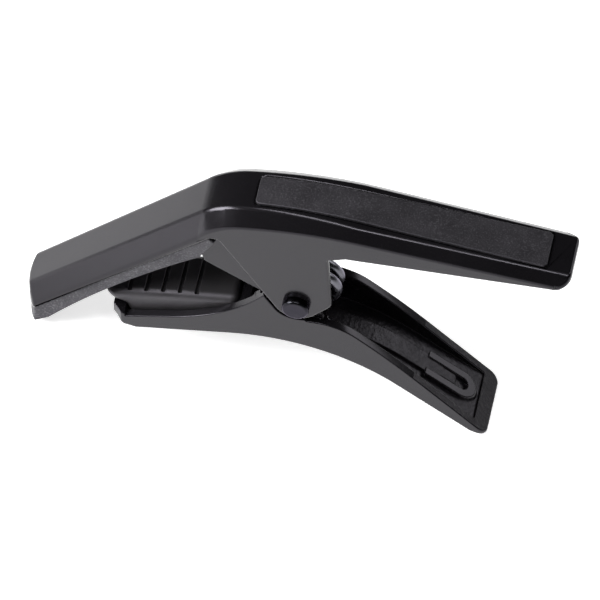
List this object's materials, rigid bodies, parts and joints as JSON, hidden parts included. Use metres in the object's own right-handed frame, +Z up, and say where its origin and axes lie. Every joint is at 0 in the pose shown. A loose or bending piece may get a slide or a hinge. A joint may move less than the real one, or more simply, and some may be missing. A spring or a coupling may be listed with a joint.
{
  "type": "guitar capo",
  "caption": "Spring-loaded trigger capo: padded bar over the strings, ribbed jaw behind the neck, two squeeze handles on one pivot.",
  "frame": {"origin": "middle of the base, on the surface that the capo stands on with its string pad's tip and its lever's end", "axes": "+X towards the free ends of the two squeeze handles, +Y across the width, +Z up"},
  "size_m": [0.1124, 0.0188, 0.0629],
  "materials": {
    "black_casting": "gloss black paint on a die casting",
    "string_pad_rubber": "fine-grained moulded rubber",
    "inlay_rubber": "grained dark rubber",
    "pin_steel": "black nickel plated steel",
    "spring_steel": "oil-blackened spring wire",
    "neck_pad_rubber": "satin moulded rubber with cross grooves"
  },
  "bodies": {
    "frame": {"frame_casting": "black_casting", "string_pad": "string_pad_rubber", "grip_inlay": "inlay_rubber", "pivot_pin": "pin_steel", "torsion_spring": "spring_steel"},
    "lever": {"lever_casting": "black_casting", "neck_pad": "neck_pad_rubber"}
  },
  "joints": [
    {"name": "jaw_pivot", "type": "hinge", "parent": "frame", "child": "lever", "pos_m": [0.00088, 0, 0.0322], "axis": [0, -1, 0], "range_deg": [0, 45], "stiffness_Nm_per_rad": 0.12, "springref_deg": -45.84, "deforming": ["torsion_spring"]}
  ]
}
